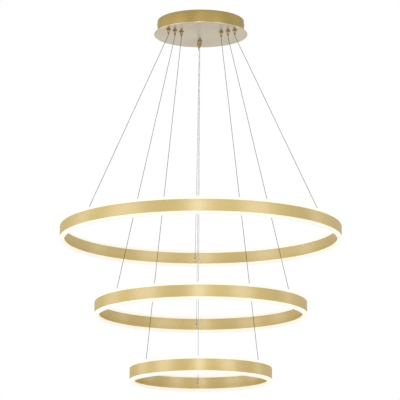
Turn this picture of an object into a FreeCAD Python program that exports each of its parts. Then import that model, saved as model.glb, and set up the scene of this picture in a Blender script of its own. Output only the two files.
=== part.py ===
import FreeCAD
import Part

import math
import os

# Three-ring LED chandelier, hung from a round ceiling canopy.
# Millimetres, +Z up. The origin is on the ceiling, at the middle of the canopy,
# and everything hangs below it. +Y is the side where the three feed cables run.

# --- driving dimensions -------------------------------------------------------

# rings: outer diameter, and drop from the ceiling to the middle of the band
RING_1_DIAMETER = 800.0
RING_2_DIAMETER = 600.0
RING_3_DIAMETER = 400.0
RING_1_DROP = 624.0
RING_2_DROP = 840.0
RING_3_DROP = 1027.0

# band: one rolled aluminium box extrusion, the same on every ring
BAND_HEIGHT = 32.0
BAND_WIDTH = 12.5
BAND_WALL = 1.4

# opal diffusers, standing proud of the band above and below
DIFFUSER_HEIGHT = 8.5
DIFFUSER_CROWN_WIDTH = 8.6

# LED strips: one closed loop of short straight runs under each diffuser
STRIP_RUN_COUNT = 24
STRIP_WIDTH = 5.0
STRIP_THICKNESS = 1.2
STRIP_CLEARANCE = 0.5

# ceiling canopy: a drum closed below by a wider round plate
CANOPY_DIAMETER = 250.0
CANOPY_HEIGHT = 38.0
CANOPY_WALL = 1.2
PLATE_OVERHANG = 10.0
PLATE_THICKNESS = 2.0

# notched lugs that hold the plate to the drum, between the rows of grippers
LUG_LENGTH = 15.0
LUG_WIDTH = 14.0
STUD_INSET = 9.5
STUD_DIAMETER = 4.0
STUD_LENGTH = 9.0
NUT_FLATS = 7.0
NUT_HEIGHT = 3.2

# ceiling bracket: a steel bar with its two ends turned down
BRACKET_WIDTH = 25.0
BRACKET_THICKNESS = 2.0
BRACKET_TAB_HEIGHT = 16.0
BRACKET_END_GAP = 0.4
BRACKET_HOLE_DIAMETER = 10.5
SLOT_SPACING = 70.0
SLOT_LENGTH = 22.0
SLOT_WIDTH = 5.5

# side screws that hold the drum up on the bracket's ends
SIDE_SCREW_DIAMETER = 4.0
SIDE_SCREW_LENGTH = 8.0
SIDE_SCREW_HEAD_DIAMETER = 8.0
SIDE_SCREW_HEAD_HEIGHT = 1.6
SIDE_SCREW_DEPTH = 10.0

# two LED drivers and a terminal block inside the canopy
DRIVER_LENGTH = 118.0
DRIVER_WIDTH = 42.0
DRIVER_HEIGHT = 24.0
DRIVER_WALL_GAP = 7.7
DRIVER_END_LENGTH = 14.0
DRIVER_END_HEIGHT = 17.0
TERMINAL_LENGTH = 36.0
TERMINAL_WIDTH = 20.0
TERMINAL_BASE_HEIGHT = 4.0
TERMINAL_HEIGHT = 14.0
TERMINAL_POLE_COUNT = 3
TERMINAL_POLE_WIDTH = 9.0

# cable grippers: nine, in three rows of three on the canopy plate.
# Their turned pieces repeat so often that each is drawn with a few flats.
GRIPPER_WALL_INSET = 13.8
GRIPPER_SPACING = 22.0
GRIPPER_SIDE_COUNT = 12
STEM_DIAMETER = 9.0
STEM_LENGTH = 12.0
FLANGE_DIAMETER = 14.0
FLANGE_THICKNESS = 1.6
COLLET_DIAMETER = 7.8
COLLET_LENGTH = 8.0
COLLET_LIP = 1.5
LOCK_NUT_FLATS = 13.0
LOCK_NUT_HEIGHT = 4.0
PLUNGER_DIAMETER = 4.6
PLUNGER_HEAD_DIAMETER = 6.2
PLUNGER_HEAD_LENGTH = 3.0
PLUNGER_TRAVEL = 2.5
PLUNGER_GRIP = 1.7

# cables: two steel ropes and one jacketed feed cable to each ring
ROPE_DIAMETER = 1.5
FEED_DIAMETER = 1.8
CABLE_TAIL = 5.0
CABLE_EXIT_DROP = 3.2
CABLE_EXIT_BEND = 9.0
CABLE_STANDOFF = 4.6
CABLE_ENTRY_BEND = 4.0

# anchors: a notched block behind the band's inner wall, and a crimped hexagonal stop
CABLE_HOLE_DIAMETER = 3.6
ANCHOR_THICKNESS = 4.0
ANCHOR_WIDTH = 12.0
ANCHOR_END_GAP = 1.4
STOP_FLATS = 4.0
STOP_LENGTH = 4.0

# clearances
THREAD_GAP = 0.05
HOLE_GAP = 0.25
RUNNING_GAP = 0.05
CABLE_GAP = 0.35
SEAT_GAP = 0.02

# azimuths of the three cable rows, in degrees
ROWS = (("left", 210.0), ("right", 330.0), ("back", 90.0))
# azimuths of the three lugs and of the two drivers, between those rows
LUG_AZIMUTHS = (30.0, 150.0, 270.0)
DRIVER_AZIMUTHS = (30.0, 270.0)

# --- heights and radii that follow ---------------------------------------------

PLATE_TOP = -CANOPY_HEIGHT
PLATE_BOTTOM = PLATE_TOP - PLATE_THICKNESS
COLLET_TOP = PLATE_BOTTOM - FLANGE_THICKNESS
COLLET_BOTTOM = COLLET_TOP - COLLET_LENGTH
NOSE_BOTTOM = COLLET_BOTTOM - PLUNGER_TRAVEL - PLUNGER_GRIP
CABLE_EXIT = NOSE_BOTTOM - CABLE_EXIT_DROP
CANOPY_RADIUS = CANOPY_DIAMETER / 2
CANOPY_INNER_RADIUS = CANOPY_RADIUS - CANOPY_WALL

OUTER_GRIPPERS = CANOPY_INNER_RADIUS - GRIPPER_WALL_INSET

# each ring's number, outer radius, height of its middle, and radius of its grippers
RINGS = (
    (1, RING_1_DIAMETER / 2, -RING_1_DROP, OUTER_GRIPPERS),
    (2, RING_2_DIAMETER / 2, -RING_2_DROP, OUTER_GRIPPERS - GRIPPER_SPACING),
    (3, RING_3_DIAMETER / 2, -RING_3_DROP, OUTER_GRIPPERS - 2 * GRIPPER_SPACING),
)


# --- small helpers ---------------------------------------------------------------

def vec(x, y, z=0.0):
    return FreeCAD.Vector(x, y, z)


UP = vec(0, 0, 1)
OUTWARD = vec(1, 0, 0)


def at_azimuth(shape, azimuth):
    """The shape, drawn in the +X direction, turned about Z to an azimuth."""
    turned = shape.copy()
    turned.rotate(vec(0, 0, 0), UP, azimuth)
    return turned


def lathe(points):
    """A solid of revolution about Z from a closed outline of (radius, z) points."""
    corners = [vec(r, 0, z) for r, z in points]
    outline = Part.makePolygon(corners + corners[:1])
    return Part.Face(outline).revolve(vec(0, 0, 0), UP, 360)


def rod(radius, length, start, direction):
    return Part.makeCylinder(radius, length, start, direction)


def block(length, width, height, x, y, z):
    """A box centred on x and y, standing on z."""
    return Part.makeBox(length, width, height, vec(x - length / 2, y - width / 2, z))


def polygon(sides, corner_radius, x, z):
    """A regular outline, level at height z, with its middle at x on the X axis."""
    turns = [math.pi * (2 * n + 1) / sides for n in range(sides + 1)]
    corners = [vec(x + corner_radius * math.cos(t), corner_radius * math.sin(t), z) for t in turns]
    return Part.makePolygon(corners)


def prism(sides, corner_radius, height, x, z):
    return Part.Face(polygon(sides, corner_radius, x, z)).extrude(vec(0, 0, height))


def hexagon(flats, height, x, z):
    """A hexagonal prism, measured across its flats."""
    return prism(6, flats / math.sqrt(3), height, x, z)


def slot(length, width, height, x, z):
    """A round-ended slot along X, to be cut out."""
    half = length / 2 - width / 2
    middle = block(2 * half, width, height, x, 0, z)
    ends = [rod(width / 2, height, vec(x + side * half, 0, z), UP) for side in (-1, 1)]
    return middle.fuse(ends).removeSplitter()


def solids_of(shapes):
    return [solid for shape in shapes for solid in shape.Solids]


def save(node, *shapes):
    solids = solids_of(shapes)
    shape = solids[0] if len(solids) == 1 else Part.makeCompound(solids)
    shape.exportStep("parts/" + node + ".step")


# --- canopy ------------------------------------------------------------------------

def stud_circle_radius():
    return CANOPY_INNER_RADIUS - STUD_INSET


def canopy_drum():
    """A drum open to the ceiling, with three inward lugs at its lower edge."""
    drum = lathe([
        (CANOPY_INNER_RADIUS, PLATE_TOP),
        (CANOPY_RADIUS, PLATE_TOP),
        (CANOPY_RADIUS, 0),
        (CANOPY_INNER_RADIUS, 0),
    ])
    reach = LUG_LENGTH + CANOPY_WALL / 2
    middle = CANOPY_INNER_RADIUS - LUG_LENGTH + reach / 2
    lug = block(reach, LUG_WIDTH, CANOPY_WALL, middle, 0, PLATE_TOP)
    lug_end = CANOPY_INNER_RADIUS - LUG_LENGTH
    notch_width = STUD_DIAMETER + 2 * HOLE_GAP
    notch_length = stud_circle_radius() + notch_width / 2 - lug_end
    notch = block(notch_length, notch_width, CANOPY_WALL, lug_end + notch_length / 2, 0, PLATE_TOP)
    lug = lug.cut(notch)
    drum = drum.fuse([at_azimuth(lug, azimuth) for azimuth in LUG_AZIMUTHS])
    side_hole = rod(
        SIDE_SCREW_DIAMETER / 2 + HOLE_GAP,
        2 * CANOPY_DIAMETER,
        vec(-CANOPY_DIAMETER, 0, -SIDE_SCREW_DEPTH),
        OUTWARD,
    )
    return drum.cut(side_hole)


def canopy_plate():
    """The round plate under the drum, with the gripper holes and three welded studs."""
    plate = rod(CANOPY_RADIUS + PLATE_OVERHANG, PLATE_THICKNESS, vec(0, 0, PLATE_BOTTOM), UP)
    stud = rod(STUD_DIAMETER / 2, STUD_LENGTH, vec(stud_circle_radius(), 0, PLATE_TOP), UP)
    plate = plate.fuse([at_azimuth(stud, azimuth) for azimuth in LUG_AZIMUTHS])
    hole_radius = STEM_DIAMETER / 2 + HOLE_GAP
    holes = [
        at_azimuth(rod(hole_radius, PLATE_THICKNESS, vec(radius, 0, PLATE_BOTTOM), UP), azimuth)
        for _, _, _, radius in RINGS
        for _, azimuth in ROWS
    ]
    return plate.cut(holes)


def plate_nuts():
    z = PLATE_TOP + CANOPY_WALL
    nut = hexagon(NUT_FLATS, NUT_HEIGHT, stud_circle_radius(), z)
    hole = rod(STUD_DIAMETER / 2 + THREAD_GAP, NUT_HEIGHT, vec(stud_circle_radius(), 0, z), UP)
    nut = nut.cut(hole)
    return [at_azimuth(nut, azimuth) for azimuth in LUG_AZIMUTHS]


def bracket_reach():
    """How far the bracket's ends reach, so that their corners clear the drum's wall."""
    inside = CANOPY_INNER_RADIUS - BRACKET_END_GAP
    return math.sqrt(inside ** 2 - (BRACKET_WIDTH / 2) ** 2)


def ceiling_bracket():
    """A slotted bar flat on the ceiling, with its two ends turned down."""
    reach = bracket_reach()
    bar = block(2 * reach, BRACKET_WIDTH, BRACKET_THICKNESS, 0, 0, -BRACKET_THICKNESS)
    tab_middle = reach - BRACKET_THICKNESS / 2
    tabs = [
        block(BRACKET_THICKNESS, BRACKET_WIDTH, BRACKET_TAB_HEIGHT, side * tab_middle, 0, -BRACKET_TAB_HEIGHT)
        for side in (-1, 1)
    ]
    bracket = bar.fuse(tabs).removeSplitter()
    slots = [
        slot(SLOT_LENGTH, SLOT_WIDTH, BRACKET_THICKNESS, side * SLOT_SPACING / 2, -BRACKET_THICKNESS)
        for side in (-1, 1)
    ]
    wire_hole = rod(BRACKET_HOLE_DIAMETER / 2, BRACKET_THICKNESS, vec(0, 0, -BRACKET_THICKNESS), UP)
    side_holes = rod(
        SIDE_SCREW_DIAMETER / 2 + THREAD_GAP,
        2 * reach,
        vec(-reach, 0, -SIDE_SCREW_DEPTH),
        OUTWARD,
    )
    return bracket.cut(slots + [wire_hole, side_holes])


def side_screws():
    """Two screws through the drum's wall into the bracket's turned-down ends."""
    inward = vec(-1, 0, 0)
    seat = vec(CANOPY_RADIUS + SEAT_GAP, 0, -SIDE_SCREW_DEPTH)
    head_end = seat - inward * SIDE_SCREW_HEAD_HEIGHT
    head = rod(SIDE_SCREW_HEAD_DIAMETER / 2, SIDE_SCREW_HEAD_HEIGHT, head_end, inward)
    screw = head.fuse(rod(SIDE_SCREW_DIAMETER / 2, SIDE_SCREW_LENGTH, seat, inward))
    return [at_azimuth(screw, azimuth) for azimuth in (0, 180)]


def driver(azimuth):
    """An LED driver: a box with a lower wiring chamber at each end, on the plate."""
    outer_corner = CANOPY_INNER_RADIUS - DRIVER_WALL_GAP
    outer_side = math.sqrt(outer_corner ** 2 - (DRIVER_LENGTH / 2) ** 2)
    middle = outer_side - DRIVER_WIDTH / 2
    body_length = DRIVER_LENGTH - 2 * DRIVER_END_LENGTH
    body = block(DRIVER_WIDTH, body_length, DRIVER_HEIGHT, middle, 0, PLATE_TOP)
    ends = block(DRIVER_WIDTH, DRIVER_LENGTH, DRIVER_END_HEIGHT, middle, 0, PLATE_TOP)
    return at_azimuth(body.fuse(ends).removeSplitter(), azimuth)


def terminal_block():
    """The mains terminal block in the middle of the plate: a base and a row of poles."""
    base = block(TERMINAL_LENGTH, TERMINAL_WIDTH, TERMINAL_BASE_HEIGHT, 0, 0, PLATE_TOP)
    pitch = (TERMINAL_LENGTH - TERMINAL_POLE_WIDTH) / (TERMINAL_POLE_COUNT - 1)
    first = -pitch * (TERMINAL_POLE_COUNT - 1) / 2
    poles = [
        block(TERMINAL_POLE_WIDTH, TERMINAL_WIDTH, TERMINAL_HEIGHT, first + n * pitch, 0, PLATE_TOP)
        for n in range(TERMINAL_POLE_COUNT)
    ]
    return base.fuse(poles).removeSplitter()


# --- cable grippers --------------------------------------------------------------------

def turned(diameter, bottom, top):
    """A length of a gripper's turned piece, about the Z axis."""
    return prism(GRIPPER_SIDE_COUNT, diameter / 2, top - bottom, 0, bottom)


def gripper_barrel():
    """Threaded stem, flange and collet in one piece.

    Its chamber holds the plunger's head, and a lip at its lower end stops it.
    """
    stem_top = PLATE_TOP + STEM_LENGTH
    stem = turned(STEM_DIAMETER, PLATE_BOTTOM, stem_top)
    flange = turned(FLANGE_DIAMETER, COLLET_TOP, PLATE_BOTTOM)
    collet = turned(COLLET_DIAMETER, COLLET_BOTTOM, COLLET_TOP)
    throat = turned(PLUNGER_DIAMETER + 2 * RUNNING_GAP, COLLET_BOTTOM, stem_top)
    chamber = turned(PLUNGER_HEAD_DIAMETER + 2 * RUNNING_GAP, COLLET_BOTTOM + COLLET_LIP, stem_top)
    return stem.fuse([flange, collet]).cut([throat, chamber])


def lock_nut():
    nut = hexagon(LOCK_NUT_FLATS, LOCK_NUT_HEIGHT, 0, PLATE_TOP)
    return nut.cut(turned(STEM_DIAMETER + 2 * THREAD_GAP, PLATE_TOP, PLATE_TOP + LOCK_NUT_HEIGHT))


def plunger():
    """The release plunger: pressed up into the barrel, it frees the cable."""
    head_bottom = COLLET_BOTTOM + COLLET_LIP + SEAT_GAP
    head_top = head_bottom + PLUNGER_HEAD_LENGTH
    nose = turned(PLUNGER_DIAMETER, NOSE_BOTTOM, head_bottom)
    head = turned(PLUNGER_HEAD_DIAMETER, head_bottom, head_top)
    bore = turned(FEED_DIAMETER + 2 * CABLE_GAP, NOSE_BOTTOM, head_top)
    return nose.fuse(head).cut(bore)


def at_every_gripper(shape):
    """Copies of a shape, drawn on the Z axis, at the nine grippers."""
    copies = []
    for _, _, _, radius in RINGS:
        moved = shape.copy()
        moved.translate(vec(radius, 0, 0))
        copies += [at_azimuth(moved, azimuth) for _, azimuth in ROWS]
    return copies


# --- cables -------------------------------------------------------------------------------

def bent_path(points, bends):
    """Straight runs through the points, joined by tangent arcs of the given radii."""
    edges = []
    start = points[0]
    for corner, after, radius in zip(points[1:-1], points[2:], bends):
        arriving = (corner - start).normalize()
        leaving = (after - corner).normalize()
        turn = arriving.getAngle(leaving)
        tangent = radius * math.tan(turn / 2)
        arc_start = corner - arriving * tangent
        arc_end = corner + leaving * tangent
        inward = (leaving - arriving).normalize()
        middle = corner + inward * (radius / math.cos(turn / 2) - radius)
        edges.append(Part.LineSegment(start, arc_start).toShape())
        edges.append(Part.Arc(arc_start, middle, arc_end).toShape())
        print("cable bend %.0f degrees, radius %.1f" % (math.degrees(turn), radius))
        start = arc_end
    edges.append(Part.LineSegment(start, points[-1]).toShape())
    return Part.Wire(edges)


def cable(ring_radius, ring_z, gripper_radius, diameter, azimuth):
    """One cable, from its tail above the gripper to the stop behind the band's wall.

    Six flats stand for the six outer strands of its rope.
    """
    inner = ring_radius - BAND_WIDTH
    points = [
        vec(gripper_radius, 0, PLATE_TOP + STEM_LENGTH + CABLE_TAIL),
        vec(gripper_radius, 0, CABLE_EXIT),
        vec(inner - CABLE_STANDOFF, 0, ring_z),
        vec(anchor_back(ring_radius), 0, ring_z),
    ]
    path = bent_path(points, (CABLE_EXIT_BEND, CABLE_ENTRY_BEND))
    section = polygon(6, diameter / 2, gripper_radius, points[0].z)
    tube = path.makePipeShell([section], True, True)
    measured = tube.Volume / (Part.Face(section).Area * path.Length)
    print("cable length %.1f, volume against section times length %.4f" % (path.Length, measured))
    return at_azimuth(tube, azimuth)


# --- rings ----------------------------------------------------------------------------------

def anchor_front(ring_radius):
    return ring_radius - BAND_WIDTH + BAND_WALL + SEAT_GAP


def anchor_back(ring_radius):
    return anchor_front(ring_radius) + ANCHOR_THICKNESS


def band(radius, z):
    """The ring's box extrusion, with a cable hole through its inner wall in each row."""
    inner = radius - BAND_WIDTH
    half = BAND_HEIGHT / 2
    wall = BAND_WALL
    outside = lathe([(inner, z - half), (radius, z - half), (radius, z + half), (inner, z + half)])
    chamber = lathe([
        (inner + wall, z - half + wall),
        (radius - wall, z - half + wall),
        (radius - wall, z + half - wall),
        (inner + wall, z + half - wall),
    ])
    start = vec(inner - wall, 0, z)
    hole = rod(CABLE_HOLE_DIAMETER / 2, BAND_WIDTH / 2 + wall, start, OUTWARD)
    holes = [at_azimuth(hole, azimuth) for _, azimuth in ROWS]
    return outside.cut([chamber] + holes)


def strip_radius(radius):
    """Radius of the runs' middles, so that a straight run lies midway across the band."""
    middle = radius - BAND_WIDTH / 2
    bow = middle * (1 - math.cos(math.pi / STRIP_RUN_COUNT))
    return middle - bow / 2


def strip_loop(radius, width, height, z):
    """A closed loop with STRIP_RUN_COUNT straight sides, between two polygons."""
    to_corner = 1 / math.cos(math.pi / STRIP_RUN_COUNT)
    outside = prism(STRIP_RUN_COUNT, (strip_radius(radius) + width / 2) * to_corner, height, 0, z)
    inside = prism(STRIP_RUN_COUNT, (strip_radius(radius) - width / 2) * to_corner, height, 0, z)
    return outside.cut(inside)


def diffuser(radius, z, side):
    """An opal cap on the band's upper (side 1) or lower (side -1) edge, over the LED strip."""
    foot = z + side * BAND_HEIGHT / 2
    crown = foot + side * DIFFUSER_HEIGHT
    inner = radius - BAND_WIDTH
    taper = (BAND_WIDTH - DIFFUSER_CROWN_WIDTH) / 2
    cap = lathe([(inner, foot), (radius, foot), (radius - taper, crown), (inner + taper, crown)])
    depth = STRIP_THICKNESS + STRIP_CLEARANCE
    groove = strip_loop(radius, STRIP_WIDTH + 2 * STRIP_CLEARANCE, depth, min(foot, foot + side * depth))
    return cap.cut(groove)


def led_strip(radius, z, side):
    """The LED strip on the band's upper or lower edge."""
    foot = z + side * BAND_HEIGHT / 2
    return strip_loop(radius, STRIP_WIDTH, STRIP_THICKNESS, min(foot, foot + side * STRIP_THICKNESS))


def cable_anchors(radius, z):
    """Three blocks behind the inner wall, each notched from below for its cable."""
    height = BAND_HEIGHT - 2 * BAND_WALL - 2 * ANCHOR_END_GAP
    middle = anchor_front(radius) + ANCHOR_THICKNESS / 2
    body = block(ANCHOR_THICKNESS, ANCHOR_WIDTH, height, middle, 0, z - height / 2)
    notch_width = FEED_DIAMETER + 2 * CABLE_GAP
    notch_height = height / 2 + notch_width / 2
    anchor = body.cut(block(ANCHOR_THICKNESS, notch_width, notch_height, middle, 0, z - height / 2))
    return [at_azimuth(anchor, azimuth) for _, azimuth in ROWS]


def cable_stops(radius, z):
    """Crimped stops on the cables' ends, pulled up against the anchors' backs."""
    stop = hexagon(STOP_FLATS, STOP_LENGTH, 0, 0)
    stop.rotate(vec(0, 0, 0), vec(0, 1, 0), 90)
    stop.translate(vec(anchor_back(radius), 0, z))
    return [at_azimuth(stop, azimuth) for _, azimuth in ROWS]


def save_ring(number, radius, z, gripper_radius):
    name = "ring_%d_" % number
    save(name + "band", band(radius, z))
    save(name + "upper_diffuser", diffuser(radius, z, 1))
    save(name + "lower_diffuser", diffuser(radius, z, -1))
    save(name + "upper_led_strip", led_strip(radius, z, 1))
    save(name + "lower_led_strip", led_strip(radius, z, -1))
    save(name + "cable_anchors", *cable_anchors(radius, z))
    save(name + "cable_stops", *cable_stops(radius, z))
    for row, azimuth in ROWS:
        diameter = FEED_DIAMETER if row == "back" else ROPE_DIAMETER
        kind = "feed_cable" if row == "back" else row + "_cable"
        save(name + kind, cable(radius, z, gripper_radius, diameter, azimuth))
        nose = plunger()
        nose.translate(vec(gripper_radius, 0, 0))
        save(name + row + "_release", at_azimuth(nose, azimuth))


# --- the whole chandelier ------------------------------------------------------------------

os.makedirs("parts", exist_ok=True)
save("ceiling_bracket", ceiling_bracket())
save("canopy_drum", canopy_drum())
save("canopy_plate", canopy_plate())
save("plate_nuts", *plate_nuts())
save("side_screws", *side_screws())
for count, driver_azimuth in enumerate(DRIVER_AZIMUTHS, 1):
    save("led_driver_%d" % count, driver(driver_azimuth))
save("terminal_block", terminal_block())
save("gripper_barrels", *at_every_gripper(gripper_barrel()))
save("gripper_lock_nuts", *at_every_gripper(lock_nut()))
for ring in RINGS:
    save_ring(*ring)
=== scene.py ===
import math

import bpy
import numpy as np
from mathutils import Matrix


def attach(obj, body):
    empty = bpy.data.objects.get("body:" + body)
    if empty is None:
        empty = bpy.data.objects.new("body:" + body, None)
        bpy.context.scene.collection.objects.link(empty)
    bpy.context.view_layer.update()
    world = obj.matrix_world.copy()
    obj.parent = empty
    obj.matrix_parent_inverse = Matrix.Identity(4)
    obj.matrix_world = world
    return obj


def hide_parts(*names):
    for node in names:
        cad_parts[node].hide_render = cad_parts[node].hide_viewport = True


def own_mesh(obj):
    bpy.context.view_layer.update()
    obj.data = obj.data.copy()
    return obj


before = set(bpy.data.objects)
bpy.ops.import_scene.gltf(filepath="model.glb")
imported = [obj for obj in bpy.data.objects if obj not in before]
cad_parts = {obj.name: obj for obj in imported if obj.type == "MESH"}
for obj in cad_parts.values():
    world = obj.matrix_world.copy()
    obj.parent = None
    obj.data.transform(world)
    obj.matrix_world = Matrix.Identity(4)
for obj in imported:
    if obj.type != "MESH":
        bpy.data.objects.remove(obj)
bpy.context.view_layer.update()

# --- Camera and studio ---------------------------------------------------------------------
# The chandelier hangs from z = 0 downwards. The camera stands below it on a long lens and
# looks up a little; tall soft boxes stand round it, which draw the upright stripes of light
# that satin metal shows, and the floor lies far below.

CAMERA_PLACE = (-0.2975, -6.8135, -1.962)
CAMERA_PITCH = 11.88          # degrees above the horizon
CAMERA_YAW = 2.481            # degrees clockwise from +Y, seen from above
CAMERA_LENS = 220.2           # mm
CAMERA_SENSOR = 36.0          # mm
CAMERA_REACH = 200.0          # m
ROOM_LIGHT = 0.42             # strength of the light that comes from all sides
FLOOR_HEIGHT = -3.4           # m
FLOOR_REACH = 60.0            # m
FLOOR_WHITE = 0.8             # share of plain white in what is seen of the floor
BOX_DISTANCE = 4.5            # m from the chandelier's axis
BOX_MIDDLE = -0.2             # m
BOX_HEIGHT = 4.2              # m

# Soft boxes, by the angle round the axis from the camera's side (right is positive), with
# their width in metres and their brightness.
SOFT_BOXES = (
    (-2.0, 0.8, 4.2),
    (44.0, 1.8, 1.8),
    (104.0, 1.0, 1.2),
    (-60.0, 2.4, 1.55),
    (-106.0, 1.6, 1.35),
)


def linear(value):
    """An sRGB hex colour as linear red, green, blue, alpha."""
    parts = np.array([int(value[i:i + 2], 16) for i in (1, 3, 5)]) / 255
    low, high = parts / 12.92, ((parts + 0.055) / 1.055) ** 2.4
    return (*np.where(parts <= 0.04045, low, high).tolist(), 1.0)


def add(tree, kind, sockets=(), ramp=None, **settings):
    """One node, with its settings, and its sockets as values or as links from other nodes.

    A ramp is given as places along it, from 0 to 1, with the hex colour at each.
    """
    made = tree.nodes.new("ShaderNode" + kind)
    for name, value in settings.items():
        setattr(made, name, value)
    if ramp:
        for stop, (position, colour) in zip(made.color_ramp.elements, ramp.items()):
            stop.position, stop.color = position, linear(colour)
    for name, value in dict(sockets).items():
        if isinstance(value, bpy.types.Node):
            tree.links.new(value.outputs[0], made.inputs[name])
        elif isinstance(value, bpy.types.NodeSocket):
            tree.links.new(value, made.inputs[name])
        else:
            made.inputs[name].default_value = value
    return made


def new_material(name):
    """An empty node material, its tree, and the Object coordinates that its patterns lie on."""
    material = bpy.data.materials.new(name)
    material.use_nodes = True
    tree = material.node_tree
    tree.nodes.clear()
    return material, tree, add(tree, "TexCoord").outputs["Object"]


def new_object(name, data):
    """A new object in the scene, of this mesh, curve, lamp or camera."""
    made = bpy.data.objects.new(name, data)
    bpy.context.scene.collection.objects.link(made)
    return made


def seen_directly(tree):
    """1 for rays that come straight from the camera, or by way of metal or glass, and else 0."""
    path = add(tree, "LightPath").outputs
    first = add(tree, "Math", {0: path["Is Camera Ray"], 1: path["Is Glossy Ray"]},
                operation="MAXIMUM")
    return add(tree, "Math", {0: first, 1: path["Is Transmission Ray"]}, operation="MAXIMUM")


camera = new_object("Camera", bpy.data.cameras.new("Camera"))
camera.data.lens = CAMERA_LENS
camera.data.sensor_width = CAMERA_SENSOR
camera.data.clip_end = CAMERA_REACH
camera.location = CAMERA_PLACE
camera.rotation_euler = (math.radians(90 + CAMERA_PITCH), 0, math.radians(-CAMERA_YAW))
bpy.context.scene.camera = camera
bpy.context.scene.view_settings.view_transform = "Standard"

# Room light from all sides; the camera, metal and glass see a white backdrop in its place.
world = bpy.data.worlds.new("Studio")
bpy.context.scene.world = world
world.use_nodes = True
world.node_tree.nodes.clear()
room = world.node_tree
ambient = add(room, "Background", {"Color": linear("#f3f0ea"), "Strength": ROOM_LIGHT})
backdrop = add(room, "Background", {"Color": (1, 1, 1, 1), "Strength": 1.0})
mixed = add(room, "MixShader", {0: seen_directly(room), 1: ambient, 2: backdrop})
add(room, "OutputWorld", {"Surface": mixed})

camera_side = math.atan2(CAMERA_PLACE[1], CAMERA_PLACE[0])
for count, (angle, width, brightness) in enumerate(SOFT_BOXES, 1):
    lamp = bpy.data.lights.new("Soft_box_%d" % count, "AREA")
    lamp.shape = "RECTANGLE"
    lamp.size, lamp.size_y = width, BOX_HEIGHT
    lamp.energy = brightness * math.pi * width * BOX_HEIGHT
    box = new_object("Soft_box_%d" % count, lamp)
    turn = camera_side + math.radians(angle)
    box.location = (BOX_DISTANCE * math.cos(turn), BOX_DISTANCE * math.sin(turn), BOX_MIDDLE)
    box.rotation_euler = (math.radians(90), 0, turn + math.radians(90))
    box.visible_camera = False

# Matt painted floor, pale, one-sided so that a camera below it still sees the chandelier.
floor_mesh = bpy.data.meshes.new("Floor")
corners = FLOOR_REACH * np.array([[-1, -1], [1, -1], [1, 1], [-1, 1]])
floor_mesh.from_pydata([(x, y, FLOOR_HEIGHT) for x, y in corners], [], [(0, 1, 2, 3)])
floor = new_object("Floor", floor_mesh)
floor_paint, tree, _ = new_material("Floor_paint_matt")
matt = add(tree, "BsdfDiffuse", {"Color": linear("#e9e7e3")})
white = add(tree, "Emission", {"Color": (1, 1, 1, 1), "Strength": 1.0})
pale = add(tree, "Math", {0: seen_directly(tree), 1: FLOOR_WHITE}, operation="MULTIPLY")
lit = add(tree, "MixShader", {0: pale, 1: matt, 2: white})
underside = add(tree, "NewGeometry").outputs["Backfacing"]
one_sided = add(tree, "MixShader", {0: underside, 1: lit, 2: add(tree, "BsdfTransparent")})
add(tree, "OutputMaterial", {"Surface": one_sided})
floor_mesh.materials.append(floor_paint)

# --- Suspension ropes and feed cables ------------------------------------------------------
# Two stainless wire ropes, six strands laid round a seventh, carry the front of each ring; a
# clear-jacketed pair of silvered wires feeds it and carries its back. Each leaves its gripper
# straight down, runs taut, turns into the hole in the band and ends behind the anchor there.

ROWS = {"left": 210.0, "right": 330.0, "back": 90.0}    # degrees round the axis, from +X
ROPE_RADIUS = 0.00075
ROPE_GROOVE = 0.16            # depth between strands, as a share of the radius
ROPE_CREST = 0.7              # under 1, the crests are broad and the grooves narrow
ROPE_LAY = 0.016              # one turn of the strands, m
ROPE_STEP = 0.0011            # along the rope, m
ROPE_SIDES = 18
FEED_RADIUS = 0.0009
FEED_STEP = 0.004             # along the cable, m
FEED_SIDES = 16
CORE_RADIUS = 0.00028
CORE_LAY = 0.012
CORE_STEP = 0.0015
CORE_SIDES = 8
TAIL_SPAN = (0.0240, 0.0002)  # the tail's ends, above the route's first point
NOSE_BOTTOM = -0.0538         # the gripper's lower end, where a cable comes free
RING_HEIGHTS = {1: -0.624, 2: -0.840, 3: -1.027}

# Each ring's cables: the route's points as distance from the axis and height, and the
# cable's length from inside its gripper to its stop, in metres.
CABLES = {
    1: (((0.110, -0.0450), (0.110, -0.0538), (0.110, -0.0570), (0.11387, -0.06512),
         (0.37903, -0.61588), (0.3829, -0.6240), (0.39292, -0.6240)), 0.651),
    2: (((0.088, -0.0450), (0.088, -0.0538), (0.088, -0.0570), (0.09017, -0.06573),
         (0.28073, -0.83127), (0.2829, -0.8400), (0.29292, -0.8400)), 0.828),
    3: (((0.066, -0.0450), (0.066, -0.0538), (0.066, -0.0570), (0.06707, -0.06594),
         (0.18183, -1.01806), (0.1829, -1.0270), (0.19292, -1.0270)), 0.998),
}


def put(name, points, faces, smooth=True):
    """A mesh object from an array of points and its faces."""
    mesh = bpy.data.meshes.new(name)
    mesh.from_pydata(np.asarray(points, float).reshape(-1, 3), [], [list(f) for f in faces])
    mesh.validate()
    if smooth:
        mesh.shade_smooth()
    else:
        mesh.shade_flat()
    return new_object(name, mesh)


def grid_faces(rows, columns, wrap_rows=False, first=0):
    """The quads of a grid of points: each row closes, and the last joins the first if asked."""
    i = np.arange(rows if wrap_rows else rows - 1)[:, None]
    left = np.arange(columns)[None, :]
    near, far = i * columns, (i + 1) % rows * columns
    right = (left + 1) % columns
    quads = np.stack([near + left, near + right, far + right, far + left], axis=-1)
    return (quads.reshape(-1, 4) + first).tolist()


def capped_faces(rows, columns):
    """The quads of a tube of rows x columns points, and a face across each of its two ends."""
    last = (rows - 1) * columns
    ends = [list(range(columns))[::-1], list(range(last, last + columns))]
    return grid_faces(rows, columns) + ends


def mesh_now(made):
    """A new mesh of an object, as its curve settings and modifiers leave it."""
    bpy.context.view_layer.update()
    graph = bpy.context.evaluated_depsgraph_get()
    return bpy.data.meshes.new_from_object(made.evaluated_get(graph))


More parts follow.
